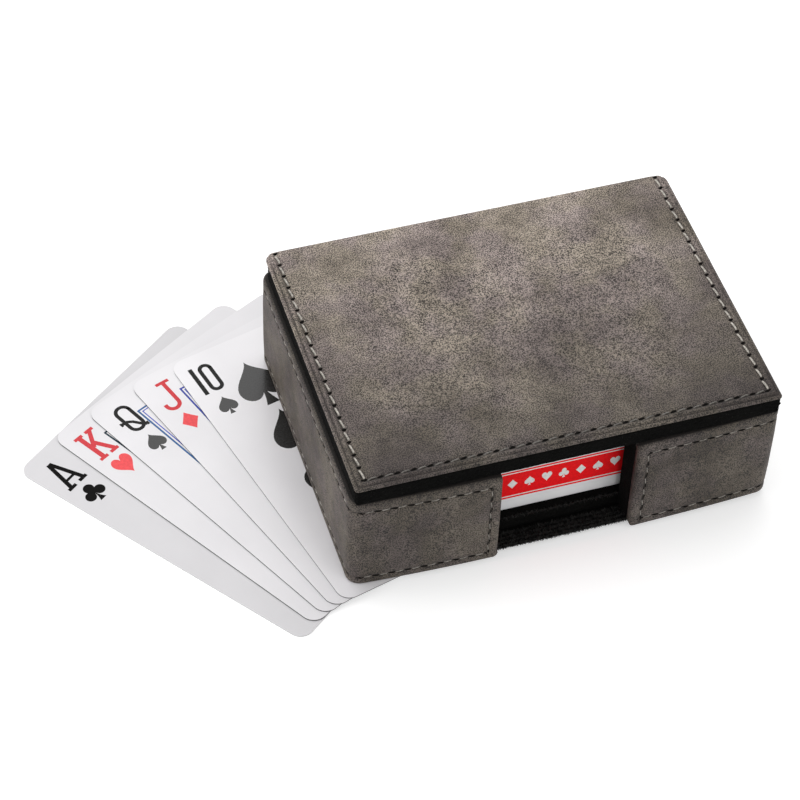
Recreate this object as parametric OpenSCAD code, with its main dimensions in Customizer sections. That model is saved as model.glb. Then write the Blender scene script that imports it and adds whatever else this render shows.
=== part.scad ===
// Playing cards in a leatherette case: a lidded case with a thumb notch holds the deck
// in its folded carton, and stands on a fan of five dealt cards.
// Millimetres, +Z up, table at z = 0, origin under the middle of the whole set.

/* [Cards] */
// Width of a card
card_w = 63; // [57:0.5:70]
// Length of a card
card_l = 88; // [82:0.5:96]
// Thickness of a card
card_t = 0.3; // [0.25:0.01:0.4]
// Radius of a card's corners
card_r = 3.5; // [2:0.1:6]
// Air between one card and the next
card_gap = 0.02; // [0.01:0.01:0.05]
// Cards in the full deck, jokers included
deck_count = 54; // [52:1:56]

/* [Carton] */
// Thickness of the folded card stock
carton_t = 0.4; // [0.3:0.05:0.6]
// Spare length inside the carton
carton_room_l = 2.2; // [1.8:0.1:4]
// Spare width inside the carton
carton_room_w = 1.2; // [0.6:0.1:3]
// Spare height over the full deck
carton_room_h = 1; // [0.6:0.1:3]
// Outside radius of the folded edges
carton_fold_r = 0.8; // [0.7:0.05:1.5]
// Radius of the thumb cut in the broad face
carton_thumb_r = 8; // [5:0.5:12]
// Reach of the tuck flap's tongue
tongue_l = 14; // [8:0.5:20]
// Radius of the tongue's two free corners
tongue_r = 5; // [2:0.5:7]
// Reach of the dust flaps from the narrow sides
dust_flap_l = 22; // [12:0.5:28]
// Air round the tucked flaps
flap_gap = 0.1; // [0.05:0.01:0.2]

/* [Case walls] */
// Thickness of the leatherette
leather_t = 1; // [0.8:0.1:1.5]
// Thickness of the boards in the walls
board_t = 4; // [2.5:0.25:6]
// Thickness of the felt lining
felt_t = 1; // [0.6:0.1:1.5]
// Thickness of the sheet under the case
sheet_t = 0.4; // [0.3:0.1:0.8]
// Free length beside the carton, both ends together
play_l = 5.6; // [2:0.2:10]
// Free depth beside the carton, both sides together
play_w = 2.4; // [1:0.2:6]
// Air between the carton and the lining behind it
carton_back_gap = 0.3; // [0.1:0.1:0.9]
// Free height over the carton
headroom = 6.8; // [2:0.2:12]
// Outside radius of the upright corners
corner_r = 3.5; // [2.5:0.1:5]
// Width of the thumb notch in the front
notch_w = 34; // [22:1:50]

/* [Case floor] */
// Thickness of the raised floor board
floor_board_t = 4; // [2:0.25:6]
// Thickness of the felt on the raised floor
floor_felt_t = 0.8; // [0.5:0.1:1.5]
// Thickness of the felt on the sill of the notch
sill_felt_t = 0.8; // [0.5:0.1:1.5]

/* [Lid] */
// Step from the side walls in to the lid, at each end
lid_step = 1; // [0.5:0.1:1.5]
// Reach of the lid past the front wall
lid_overhang = 0.2; // [0:0.1:1]
// Air between the walls and the closed lid
lid_gap = 0.2; // [0.1:0.05:0.4]
// Thickness of the board inside the lid's leatherette
lid_board_t = 0.6; // [0.6:0.1:2]
// Thickness of the board inside the lid's felt slab
liner_board_t = 3.2; // [1.5:0.1:4]
// Step from the lid's edge in to the felt slab
slab_step = 0.2; // [0.2:0.1:1]
// Radius of the lid's upright corners
lid_corner_r = 2.5; // [2.2:0.1:5]
// Radius of the rolled leatherette and felt edges
roll_r = 0.9; // [0.5:0.1:1.1]

/* [Sewn channels] */
// Radius of the groove that the thread is drawn into
channel_r = 0.45; // [0.3:0.05:0.7]
// Depth of the groove
channel_depth = 0.2; // [0.1:0.05:0.3]
// From the lid's edge in to its row of stitches
lid_row = 2.8; // [2:0.1:5]
// From the top edge of a wall down to its upper row
upper_row = 3.2; // [2.5:0.1:7]
// From the bottom edge of a wall up to its lower row
lower_row = 2.4; // [2:0.1:7]
// From the notch to the upright row beside it
notch_row = 2.7; // [2:0.1:7]

/* [Hinge] */
// Step from the round corner in to the leatherette spine
spine_step = 0.8; // [0.5:0.1:8]
// Seam between the spine and the side covers
seam_gap = 0.2; // [0.1:0.05:0.5]
// Height of the strip of spine that bends
fold_h = 3; // [2:0.25:4]

/* [Hidden] */
$fn = 64;

// Overrun of every cut
over = 1;

// Fan, from the bottom card up: the way each card's top points, in degrees from +X,
// and its middle from the case's middle, in card widths and card lengths
fan_angles = [127.7, 122.4, 117.2, 110.1, 104.2];
fan_x_shares = [-1.125, -0.985, -0.86, -0.715, -0.5865];
fan_y_shares = [0.0345, 0.0742, 0.0874, 0.0865, 0.0773];
fan_count = len(fan_angles);
card_pitch = card_t + card_gap;

// Carton round the full deck
carton_l = card_l + carton_room_l + 2 * carton_t;
carton_w = card_w + carton_room_w + 2 * carton_t;
carton_h = deck_count * card_t + carton_room_h + 2 * carton_t;
pack_count = deck_count - fan_count;

// Faces of the walls from the case's middle: well, lining, board, outside
well_x = (carton_l + play_l) / 2;
well_y = (carton_w + play_w) / 2;
lining_x = well_x + felt_t;
lining_y = well_y + felt_t;
board_x = lining_x + board_t;
board_y = lining_y + board_t;
case_w = 2 * (board_x + leather_t);
case_d = 2 * (board_y + leather_t);
notch_x = notch_w / 2;
carton_y = well_y - carton_back_gap - carton_w / 2;

// Levels from the case's underside
floor_board_z = sheet_t + floor_board_t;
floor_z = floor_board_z + floor_felt_t;
wall_h = floor_z + carton_h + headroom;
board_h = wall_h - leather_t;
hinge_z = wall_h + lid_gap / 2;
lid_z = wall_h + lid_gap;
lid_cover_z = lid_z + felt_t + liner_board_t;
lid_edge_h = lid_board_t + leather_t;

// Spine between the round corners of the back
spine_w = case_w - 2 * (corner_r + spine_step);

// Lid, flush with the case's back
lid_w = case_w - 2 * lid_step;
lid_d = case_d + lid_overhang;
lid_y = -lid_overhang / 2;
slab_w = lid_w - 2 * slab_step;
slab_d = lid_d - slab_step - leather_t;
slab_y = lid_y + (slab_step - leather_t) / 2;
slab_r = lid_corner_r - slab_step;
lid_roll_r = min(roll_r, lid_edge_h / 2 - 0.1);

// Middle of the case, so that the whole set is centred on the origin
function fan_reach(along, across) =
    abs(along) * (card_l / 2 - card_r) + abs(across) * (card_w / 2 - card_r) + card_r;
function fan_reach_x(a) = fan_reach(cos(a), sin(a));
function fan_reach_y(a) = fan_reach(sin(a), cos(a));
fan_low_x = min([for (i = [0 : fan_count - 1]) fan_x_shares[i] * card_w - fan_reach_x(fan_angles[i])]);
fan_low_y = min([for (i = [0 : fan_count - 1]) fan_y_shares[i] * card_l - fan_reach_y(fan_angles[i])]);
fan_high_y = max([for (i = [0 : fan_count - 1]) fan_y_shares[i] * card_l + fan_reach_y(fan_angles[i])]);
case_x = -(min(fan_low_x, -case_w / 2) + case_w / 2) / 2;
case_y = -(min(fan_low_y, -case_d / 2 - lid_overhang) + max(fan_high_y, case_d / 2)) / 2;
case_z = fan_count * card_pitch;

leather_colour = [0.36, 0.33, 0.3];
felt_colour = [0.06, 0.06, 0.06];
board_colour = [0.5, 0.46, 0.4];
card_colour = [0.9, 0.9, 0.92];

// Rectangle with round corners about the origin
module rounded_rect(w, d, r) {
    square([w - 2 * r, d], center = true);
    square([w, d - 2 * r], center = true);
    for (sx = [-1, 1], sy = [-1, 1])
        translate([sx * (w / 2 - r), sy * (d / 2 - r)])
            circle(r);
}

// Block with round upright corners and a rolled edge round its top
module rolled_block(w, d, r, h, roll) {
    linear_extrude(h - roll)
        rounded_rect(w, d, r);
    linear_extrude(h)
        rounded_rect(w - 2 * roll, d - 2 * roll, r - roll);
    for (s = [-1, 1]) {
        translate([0, s * (d / 2 - roll), h - roll])
            rotate([0, 90, 0])
                cylinder(r = roll, h = w - 2 * r, center = true);
        translate([s * (w / 2 - roll), 0, h - roll])
            rotate([90, 0, 0])
                cylinder(r = roll, h = d - 2 * r, center = true);
    }
    for (sx = [-1, 1], sy = [-1, 1])
        translate([sx * (w / 2 - r), sy * (d / 2 - r), h - roll])
            rotate_extrude()
                translate([r - roll, 0])
                    circle(roll);
}

// Straight groove for a row of stitches, along X from x0 to x1 on a face that looks along +Z
module channel(x0, x1) {
    translate([x0, 0, channel_r - channel_depth])
        rotate([0, 90, 0])
            cylinder(r = channel_r, h = x1 - x0);
}

// Box between two planes on each axis
module box(x0, x1, y0, y1, z0, z1) {
    translate([x0, y0, z0])
        cube([x1 - x0, y1 - y0, z1 - z0]);
}

// Places a piece that is drawn from the middle of the case's underside
module in_case() {
    translate([case_x, case_y, case_z])
        children();
}

// Dark sheet glued under the case, which also carries the sill of the notch
module underside_sheet() {
    color(felt_colour)
        in_case()
            linear_extrude(sheet_t)
                rounded_rect(2 * board_x, 2 * board_y, corner_r - leather_t);
}

// Board that raises the floor, set back from the notch by its felt
module floor_board() {
    color(board_colour)
        in_case()
            box(-well_x, well_x, floor_felt_t - well_y, well_y, sheet_t, floor_board_z);
}

// Felt over the raised floor, turned down over its front edge
module floor_felt() {
    front_y = floor_felt_t - well_y;
    color(felt_colour)
        in_case()
            rotate([90, 0, 90])
                linear_extrude(2 * well_x, center = true) {
                    translate([front_y, floor_board_z])
                        square([well_y - front_y, floor_felt_t]);
                    translate([-well_y, sheet_t])
                        square([floor_felt_t, floor_board_t]);
                    intersection() {
                        translate([front_y, floor_board_z])
                            circle(floor_felt_t);
                        translate([-well_y, floor_board_z])
                            square(floor_felt_t);
                    }
                }
}

// Felt on the sill between the two jambs of the notch
module sill_felt() {
    color(felt_colour)
        in_case()
            box(-notch_x, notch_x, -board_y, -well_y, sheet_t, sheet_t + sill_felt_t);
}

// End wall's board, full depth with round outer edges; side is -1 left, 1 right
module end_board(side) {
    color(board_colour)
        in_case()
            translate([0, 0, sheet_t])
                linear_extrude(board_h - sheet_t)
                    intersection() {
                        rounded_rect(2 * board_x, 2 * board_y, corner_r - leather_t);
                        translate([side * (lining_x + board_x) / 2, 0])
                            square([board_t, 2 * board_y], center = true);
                    }
}

module left_board() {
    end_board(-1);
}

module right_board() {
    end_board(1);
}

// Back wall's board between the end boards, topped by the lining's flap
module back_board() {
    color(board_colour)
        in_case()
            box(-lining_x, lining_x, lining_y, board_y, sheet_t, wall_h - felt_t);
}

// Front wall's board on one side of the notch
module front_board(side) {
    jamb_x = notch_x + felt_t;
    color(board_colour)
        in_case()
            mirror([side < 0 ? 0 : 1, 0, 0])
                box(-lining_x, -jamb_x, -board_y, -lining_y, sheet_t, board_h);
}

module front_left_board() {
    front_board(-1);
}

module front_right_board() {
    front_board(1);
}

// Lining of an end wall
module end_felt(side) {
    color(felt_colour)
        in_case()
            translate([side * (well_x + lining_x) / 2, 0, (sheet_t + board_h) / 2])
                cube([felt_t, 2 * lining_y, board_h - sheet_t], center = true);
}

module left_felt() {
    end_felt(-1);
}

module right_felt() {
    end_felt(1);
}

// Lining of the back wall, turned over the top of its board to the hinge
module back_felt() {
    color(felt_colour)
        in_case()
            difference() {
                rotate([90, 0, 90])
                    linear_extrude(2 * lining_x, center = true) {
                        translate([well_y, sheet_t])
                            square([felt_t, wall_h - felt_t - sheet_t]);
                        translate([lining_y, wall_h - felt_t])
                            square([board_t, felt_t]);
                        intersection() {
                            translate([lining_y, wall_h - felt_t])
                                circle(felt_t);
                            translate([well_y, wall_h - felt_t])
                                square(felt_t);
                        }
                    }
                for (side = [-1, 1])
                    translate([side * (well_x + lining_x + over) / 2, 0, 0])
                        box(-(felt_t + over) / 2, (felt_t + over) / 2, 0, lining_y, -over, board_h);
            }
}

// Lining of the front wall on one side of the notch, turned round its jamb
module front_felt(side) {
    bend_x = -notch_x - felt_t;
    color(felt_colour)
        in_case()
            translate([0, 0, sheet_t])
                linear_extrude(board_h - sheet_t)
                    mirror([side < 0 ? 0 : 1, 0]) {
                        translate([-well_x, -lining_y])
                            square([well_x + bend_x, felt_t]);
                        translate([bend_x, -board_y])
                            square([felt_t, board_t]);
                        intersection() {
                            translate([bend_x, -lining_y])
                                circle(felt_t);
                            translate([bend_x, -lining_y])
                                square(felt_t);
                        }
                    }
}

module front_left_felt() {
    front_felt(-1);
}

module front_right_felt() {
    front_felt(1);
}

// Leatherette from one jamb of the notch round the end wall to the spine, rolled over the
// top edge and glued down on the boards
module wall_cover(side) {
    color(leather_colour)
        in_case()
            mirror([side < 0 ? 0 : 1, 0, 0])
                difference() {
                    rolled_block(case_w, case_d, corner_r, wall_h, roll_r);
                    translate([0, 0, -over])
                        linear_extrude(board_h + over)
                            rounded_rect(2 * board_x, 2 * board_y, corner_r - leather_t);
                    box(-lining_x, lining_x, -lining_y, lining_y, -over, wall_h + over);
                    box(-notch_x, case_w, -case_d, case_d, -over, wall_h + over);
                    box(-lining_x, case_w, 0, case_d, -over, wall_h + over);
                    box(-spine_w / 2 - seam_gap, case_w, board_y, case_d, -over, wall_h + over);
                    wall_channels();
                }
}

// Grooves of the stitches on the left cover: an upper and a lower row round the corner, and
// an upright row beside the notch
module wall_channels() {
    bend_x = corner_r - case_w / 2;
    bend_y = corner_r - case_d / 2;
    row_x = -notch_x - notch_row;
    for (z = [lower_row, wall_h - upper_row]) {
        translate([0, -case_d / 2, z])
            rotate([90, 0, 0])
                channel(bend_x, row_x);
        translate([-case_w / 2, 0, z])
            rotate([0, -90, 0])
                rotate(90)
                    channel(bend_y, -bend_y);
        translate([bend_x, bend_y, z])
            rotate(180)
                rotate_extrude(angle = 90)
                    translate([corner_r + channel_r - channel_depth, 0])
                        circle(channel_r);
    }
    translate([row_x, -case_d / 2, 0])
        rotate([90, 0, 0])
            rotate(90)
                channel(lower_row, wall_h - upper_row);
}

module left_cover() {
    wall_cover(-1);
}

module right_cover() {
    wall_cover(1);
}

// Leatherette spine on the back wall, up to the bend
module back_cover() {
    color(leather_colour)
        in_case()
            box(-spine_w / 2, spine_w / 2, board_y, case_d / 2, 0, hinge_z - fold_h / 2);
}

// Strip of the spine that bends when the lid opens
module hinge_fold() {
    color(leather_colour)
        in_case()
            box(-spine_w / 2, spine_w / 2, board_y, case_d / 2, hinge_z - fold_h / 2, hinge_z + fold_h / 2);
}

// Felt tray that wraps the slab under the lid
module lid_felt() {
    color(felt_colour)
        in_case()
            translate([0, slab_y, lid_z])
                difference() {
                    translate([0, 0, felt_t + liner_board_t])
                        mirror([0, 0, 1])
                            rolled_block(slab_w, slab_d, slab_r, felt_t + liner_board_t, roll_r);
                    translate([0, 0, felt_t])
                        linear_extrude(liner_board_t + over)
                            rounded_rect(slab_w - 2 * felt_t, slab_d - 2 * felt_t, slab_r - felt_t);
                }
}

// Board inside the felt slab
module lid_liner_board() {
    color(board_colour)
        in_case()
            translate([0, slab_y, lid_z + felt_t])
                linear_extrude(liner_board_t)
                    rounded_rect(slab_w - 2 * felt_t, slab_d - 2 * felt_t, slab_r - felt_t);
}

// Outline of the board inside the lid's leatherette
module lid_board_outline() {
    rounded_rect(lid_w - 2 * leather_t, lid_d - 2 * leather_t, lid_corner_r - leather_t);
}

// Thin board that the lid's leatherette is drawn over
module lid_board() {
    color(board_colour)
        in_case()
            translate([0, lid_y, lid_cover_z])
                linear_extrude(lid_board_t)
                    lid_board_outline();
}

// Leatherette over the lid, rolled round its board and carried down the back as the spine
module lid_cover() {
    color(leather_colour)
        in_case() {
            translate([0, lid_y, lid_cover_z])
                difference() {
                    rolled_block(lid_w, lid_d, lid_corner_r, lid_edge_h, lid_roll_r);
                    translate([0, 0, -over])
                        linear_extrude(lid_board_t + over)
                            lid_board_outline();
                    translate([0, 0, lid_edge_h])
                        lid_channels();
                }
            box(-spine_w / 2, spine_w / 2, board_y, case_d / 2, hinge_z + fold_h / 2, lid_cover_z);
        }
}

// Grooves of the stitches on the lid: along both ends and the front, none along the spine
module lid_channels() {
    row_x = lid_w / 2 - lid_row;
    row_y = lid_row - lid_d / 2;
    translate([0, row_y, 0])
        channel(-row_x, row_x);
    for (side = [-1, 1])
        translate([side * row_x, 0, 0])
            rotate(90)
                channel(row_y, lid_d / 2 - roll_r);
}

// Folded carton: a sleeve, closed ends with dust flaps, and a tuck flap whose tongue slides
// in behind the thumb cut
module carton() {
    inner_w = carton_w - 2 * carton_t;
    inner_h = carton_h - 2 * carton_t;
    inner_r = carton_fold_r - carton_t;
    tongue_z = carton_h - 2 * carton_t - flap_gap;
    end_x = carton_l / 2 - carton_t;
    dust_x = end_x - carton_t - flap_gap;
    dust_y = (inner_w - dust_flap_l) / 2;
    dust_h = inner_h - 2 * (carton_t + 2 * flap_gap);
    color([0.75, 0.1, 0.1])
        in_case()
            translate([0, carton_y, floor_z])
                difference() {
                    union() {
                        rotate([90, 0, 90])
                            linear_extrude(carton_l, center = true)
                                translate([0, carton_h / 2])
                                    difference() {
                                        rounded_rect(carton_w, carton_h, carton_fold_r);
                                        rounded_rect(inner_w, inner_h, inner_r);
                                    }
                        for (side = [-1, 1]) {
                            translate([side * (carton_l - carton_t) / 2, 0, carton_h / 2])
                                cube([carton_t, inner_w, inner_h], center = true);
                            for (edge = [-1, 1])
                                translate([side * (dust_x + carton_t / 2), edge * dust_y, carton_h / 2])
                                    cube([carton_t, dust_flap_l, dust_h], center = true);
                        }
                        translate([end_x, 0, tongue_z])
                            linear_extrude(carton_t)
                                intersection() {
                                    rounded_rect(2 * tongue_l, inner_w - 2 * flap_gap, tongue_r);
                                    translate([-tongue_l, -inner_w / 2])
                                        square([tongue_l, inner_w]);
                                }
                    }
                    translate([carton_l / 2, 0, carton_h - carton_t - flap_gap / 2])
                        cylinder(r = carton_thumb_r, h = carton_t + over);
                }
}

// Cards left in the carton, one solid each
module pack_cards() {
    color(card_colour)
        in_case()
            for (i = [0 : pack_count - 1])
                translate([0, carton_y, floor_z + carton_t + card_gap + i * card_pitch])
                    rotate(90)
                        linear_extrude(card_t)
                            rounded_rect(card_w, card_l, card_r);
}

// One card of the fan, counted from the bottom
module fan_card(i) {
    color(card_colour)
        translate([case_x + fan_x_shares[i] * card_w, case_y + fan_y_shares[i] * card_l, i * card_pitch])
            rotate(fan_angles[i] - 90)
                linear_extrude(card_t)
                    rounded_rect(card_w, card_l, card_r);
}

module ace_of_clubs() {
    fan_card(0);
}

module king_of_hearts() {
    fan_card(1);
}

module queen_of_spades() {
    fan_card(2);
}

module jack_of_diamonds() {
    fan_card(3);
}

module ten_of_spades() {
    fan_card(4);
}

underside_sheet();
floor_board();
floor_felt();
sill_felt();
left_board();
right_board();
back_board();
front_left_board();
front_right_board();
left_felt();
right_felt();
back_felt();
front_left_felt();
front_right_felt();
left_cover();
right_cover();
back_cover();
hinge_fold();
lid_felt();
lid_liner_board();
lid_board();
lid_cover();
carton();
pack_cards();
ace_of_clubs();
king_of_hearts();
queen_of_spades();
jack_of_diamonds();
ten_of_spades();
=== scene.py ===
import bmesh
import bpy
import numpy as np
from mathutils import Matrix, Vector


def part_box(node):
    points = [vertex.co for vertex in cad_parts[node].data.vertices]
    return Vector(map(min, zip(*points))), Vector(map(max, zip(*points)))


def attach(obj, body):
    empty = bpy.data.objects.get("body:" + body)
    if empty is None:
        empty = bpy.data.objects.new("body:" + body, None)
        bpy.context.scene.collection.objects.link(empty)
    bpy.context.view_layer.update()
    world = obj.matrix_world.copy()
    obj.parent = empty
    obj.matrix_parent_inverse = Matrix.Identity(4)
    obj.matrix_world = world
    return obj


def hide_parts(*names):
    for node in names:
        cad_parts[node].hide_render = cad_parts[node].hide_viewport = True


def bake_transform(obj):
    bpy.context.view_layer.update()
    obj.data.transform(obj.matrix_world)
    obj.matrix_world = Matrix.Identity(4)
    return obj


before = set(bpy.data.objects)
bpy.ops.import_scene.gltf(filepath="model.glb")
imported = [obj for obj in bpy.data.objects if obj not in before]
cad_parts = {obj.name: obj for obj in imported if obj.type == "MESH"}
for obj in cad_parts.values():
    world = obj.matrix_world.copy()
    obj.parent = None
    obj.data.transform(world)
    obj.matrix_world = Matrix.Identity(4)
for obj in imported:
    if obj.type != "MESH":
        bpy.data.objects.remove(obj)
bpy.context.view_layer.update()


# Camera. It looks down on the front left corner of the case through a long lens.
# Sizes are in millimetres from the middle of the underside of the case; only the lamps and the table
# are in metres.
MM = 0.001


def new_object(name, data):
    """An object in the scene, at the origin."""
    made = bpy.data.objects.new(name, data)
    bpy.context.scene.collection.objects.link(made)
    return made


sheet_low, sheet_high = np.array(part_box("underside_sheet"))
case_origin = np.array([*(sheet_low + sheet_high)[:2] / 2, sheet_low[2]])
camera_data = bpy.data.cameras.new("camera")
camera_data.lens = 122.34
camera_data.sensor_width = 36.0
camera_data.clip_end = 20.0
camera = new_object("camera", camera_data)
camera.location = case_origin * (1, 1, 0) + np.array([-174.98, -418.33, 521.32]) * MM
camera.rotation_euler = np.radians([41.3496, -1.5972, -17.3497])
bpy.context.scene.camera = camera
bpy.context.scene.view_settings.view_transform = "Standard"


# Five fanned cards. Each is coated paper stock, two sheets pasted together, cut to 63 by 88 mm
# with round corners, white on its face and printed with a red lattice on its back.
class Shade:
    """One shader socket. Operators on values add Math nodes to its tree; node() adds any other node."""

    def __init__(self, tree, socket=None):
        self.tree = tree
        self.socket = socket

    def node(self, kind, inputs=None, settings=None, output=0):
        """Adds a node, sets it up, fills or links its sockets and returns the chosen output."""
        made = self.tree.nodes.new(kind)
        for key, value in (settings or {}).items():
            setattr(made, key, value)
        for key, value in (inputs or {}).items():
            if isinstance(value, Shade):
                self.tree.links.new(value.socket, made.inputs[key])
            else:
                made.inputs[key].default_value = value
        return Shade(self.tree, made.outputs[output] if made.outputs else None)

    def math(self, operation, *others):
        """A Math node on this value and any further ones."""
        return self.node("ShaderNodeMath", dict(enumerate((self, *others))), {"operation": operation})

    def __add__(self, other):
        return self.math("ADD", other)

    def __sub__(self, other):
        return self.math("SUBTRACT", other)

    def __rsub__(self, other):
        return self.node("ShaderNodeMath", {0: other, 1: self}, {"operation": "SUBTRACT"})

    def __mul__(self, other):
        return self.math("MULTIPLY", other)

    __radd__ = __add__
    __rmul__ = __mul__

    def mix(self, first, second):
        """The first colour where this value is 0, the second where it is 1."""
        first, second = (c if isinstance(c, Shade) else (*c, 1.0) for c in (first, second))
        return self.node("ShaderNodeMix", {0: self, 6: first, 7: second}, {"data_type": "RGBA"}, 2)

    def ramp(self, low, high):
        """0 up to the low value, 1 from the high value, and a straight line between them."""
        return self.node("ShaderNodeMapRange", {0: self, 1: low, 2: high})

    def axis(self, number):
        """One component of this vector."""
        return self.node("ShaderNodeSeparateXYZ", {0: self}, output=number)

    def place(self):
        """Object coordinates."""
        return self.node("ShaderNodeTexCoord", output=3)

    def noise(self, scale, detail=2.0, roughness=0.5):
        """Noise in Object coordinates; the scale is in cells per metre."""
        return self.node("ShaderNodeTexNoise", {"Vector": self.place(), "Scale": scale, "Detail": detail,
                                                "Roughness": roughness})

    def bump(self, height, distance, strength):
        """A normal roughened by a height; the distance is in millimetres."""
        return self.node("ShaderNodeBump", {"Height": height, "Distance": distance * MM,
                                            "Strength": strength})


def new_finish(name):
    """An empty node material, and a Shade on its tree."""
    made = bpy.data.materials.new(name)
    made.use_nodes = True
    made.node_tree.nodes.clear()
    return made, Shade(made.node_tree)


def set_surface(shade, **sockets):
    """A Principled surface with these sockets, wired to the material's output."""
    inputs = {name.replace("_", " "): value for name, value in sockets.items()}
    surface = shade.node("ShaderNodeBsdfPrincipled", inputs)
    shade.node("ShaderNodeOutputMaterial", {"Surface": surface})


def scaled(colour, factor):
    """A colour made lighter or darker."""
    return tuple(factor * part for part in colour)


def card_stock(name, centre, tilt, tone=0.75, edge=0.06):
    """White coated stock: faces that look down get a red lattice inside a white border.
    Tone and edge are the brightness of its white and of its cut edge, both painted shade: the whites differ
    from card to card with the light on them, and a dark cut edge stands for the shaded gap along it."""
    made, shade = new_finish(name)
    pitch, bar, half_w, half_l = 3.0 * MM, 0.36, 27.0 * MM, 39.5 * MM
    placing = {"Vector": shade.place(), "Location": (*centre, 0.0), "Rotation": (0.0, 0.0, tilt - np.pi / 2)}
    turned = shade.node("ShaderNodeMapping", placing, {"vector_type": "TEXTURE"})
    across, along = turned.axis(0), turned.axis(1)
    lines = [((run * (1.0 / pitch)).math("FRACT") - 0.5).math("ABSOLUTE").math("GREATER_THAN", bar)
             for run in (across + along, across - along)]
    inside = (across.math("ABSOLUTE").math("LESS_THAN", half_w)
              * along.math("ABSOLUTE").math("LESS_THAN", half_l))
    upward = shade.node("ShaderNodeNewGeometry", output=1).axis(2)
    printed = inside * upward.math("LESS_THAN", -0.5) * (1.0 - lines[0].math("MAXIMUM", lines[1]))
    cut_edge = upward.math("ABSOLUTE").math("LESS_THAN", 0.5)
    white = (tone, 0.982 * tone, 1.008 * tone)
    paper = shade.noise(55.0, 3.0).ramp(0.3, 0.7).mix(scaled(white, 0.97), scaled(white, 1.03))
    # Cut edges take the edge tone: painted shade for the gaps between the cards.
    set_surface(shade, Base_Color=cut_edge.mix(printed.mix(paper, (0.45, 0.02, 0.03)), (edge, edge, edge)),
                Roughness=0.2 + 0.08 * shade.noise(900.0),
                Normal=shade.bump(shade.noise(2600.0, 3.0), 0.02, 0.3))
    return made


def ink(name, colour, gloss, shine):
    """Printing ink, thin enough that the paper's fibre still breaks up its gloss."""
    made, shade = new_finish(name)
    fleck = shade.noise(1500.0, 3.0).ramp(0.35, 0.65)
    set_surface(shade, Base_Color=fleck.mix(scaled(colour, 0.86), colour), Specular_IOR_Level=shine,
                Roughness=gloss + 0.12 * shade.noise(900.0),
                Normal=shade.bump(shade.noise(2600.0, 3.0), 0.02, 0.35))
    return made


def stacked(*columns):
    """Rows of points from their coordinates; a single number is the same in every row."""
    return np.stack(np.broadcast_arrays(*columns), axis=-1)


def fan_patch(outline):
    """A flat patch in a closed outline: triangles from the outline's mean point to each of its sides."""
    outline = np.asarray(outline, float)
    count = len(outline)
    start = np.arange(count)
    faces = stacked(start, (start + 1) % count, count)
    return np.vstack([outline, outline.mean(axis=0)]), faces


def stroke(path, width):
    """A flat ribbon: the path moved half a width to each side along its normal."""
    path = np.asarray(path, float)
    along = np.gradient(path, axis=0)
    along /= np.linalg.norm(along, axis=1, keepdims=True)
    half = np.broadcast_to(width, len(path))[:, None] / 2
    side = stacked(-along[:, 1], along[:, 0]) * half
    count = len(path)
    start = np.arange(count - 1)
    faces = stacked(start + count, start + count + 1, start + 1, start)
    return np.vstack([path + side, path - side]), faces


LAYER = 0.0004


def joined(parts):
    """One patch of many: points stacked, faces renumbered and turned face up.
    Each part lies a hair above the last, so that strokes can cross; that height is the third column."""
    points = np.vstack([stacked(*part[0].T, LAYER * k) for k, part in enumerate(parts)])
    faces, base = [], 0
    for part_points, part_faces in parts:
        a, b, c = (part_points[part_faces[:, i]] for i in range(3))
        up = (b - a)[:, 0] * (c - a)[:, 1] - (b - a)[:, 1] * (c - a)[:, 0] > 0
        turned = np.where(up[:, None], part_faces, part_faces[:, ::-1])
        faces += (turned + base).tolist()
        base += len(part_points)
    return points, faces


def placed(part, at, size=(1.0, 1.0), flip=1):
    """A patch scaled, turned half round where flip is -1, and moved to its place."""
    return part[0] * np.array(size) * flip + np.array(at) * flip, part[1]


def arc(centre, radius, first, last, count=13):
    """Points on a circle from one angle to another, in degrees."""
    angle = np.radians(np.linspace(first, last, count))
    return np.array(centre) + radius * stacked(np.cos(angle), np.sin(angle))


def stadium(centre, radius, half_height):
    """A closed ring: two half circles joined by straight sides, with the first point repeated."""
    lift = np.array([0.0, half_height - radius])
    ring = np.vstack([arc(centre + lift, radius, 0, 180), arc(centre - lift, radius, 180, 360)])
    return np.vstack([ring, ring[:2]])


def heart_pip():
    """Heart in a unit box: x = sin(t)^3, y = 13 cos t - 5 cos 2t - 2 cos 3t - cos 4t, both scaled to 1."""
    t = np.linspace(0, 2 * np.pi, 56, endpoint=False)
    y = 13 * np.cos(t) - 5 * np.cos(2 * t) - 2 * np.cos(3 * t) - np.cos(4 * t)
    return [fan_patch(stacked(np.sin(t) ** 3 / 2, (y - y.min()) / np.ptp(y)))]


def diamond_pip():
    """Diamond in a unit box: powers of cosine and sine a little over 2, so its sides are slightly hollow."""
    t = np.linspace(0, 2 * np.pi, 48, endpoint=False)
    hollow = [np.sign(wave) * np.abs(wave) ** 2.12 / 2 for wave in (np.cos(t), np.sin(t))]
    return [fan_patch(stacked(hollow[0], hollow[1] + 0.5))]


def stem(top, base_width):
    """Foot of a black pip: a ribbon from its top down to zero that flares to the base width."""
    share, neck = np.linspace(0, 1, 9), 0.05
    return stroke(stacked(0.0, top * (1 - share)), neck + (base_width - neck) * share ** 1.9)


def spade_pip():
    """Spade in a unit box: an upturned heart over a flared foot."""
    outline, faces = heart_pip()[0]
    return [(outline * (1, -0.83) + (0, 1.0), faces), stem(0.4, 0.3)]


def club_pip():
    """Club in a unit box: three discs, a small filling between them and a flared foot."""
    lobes = [fan_patch(arc(centre, 0.235, 0, 352.5, 36))
             for centre in ((-0.265, 0.43), (0.265, 0.43), (0, 0.775))]
    filling = fan_patch([(-0.14, 0.42), (0.14, 0.42), (0.09, 0.62), (-0.09, 0.62)])
    return lobes + [filling, stem(0.45, 0.32)]


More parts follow.
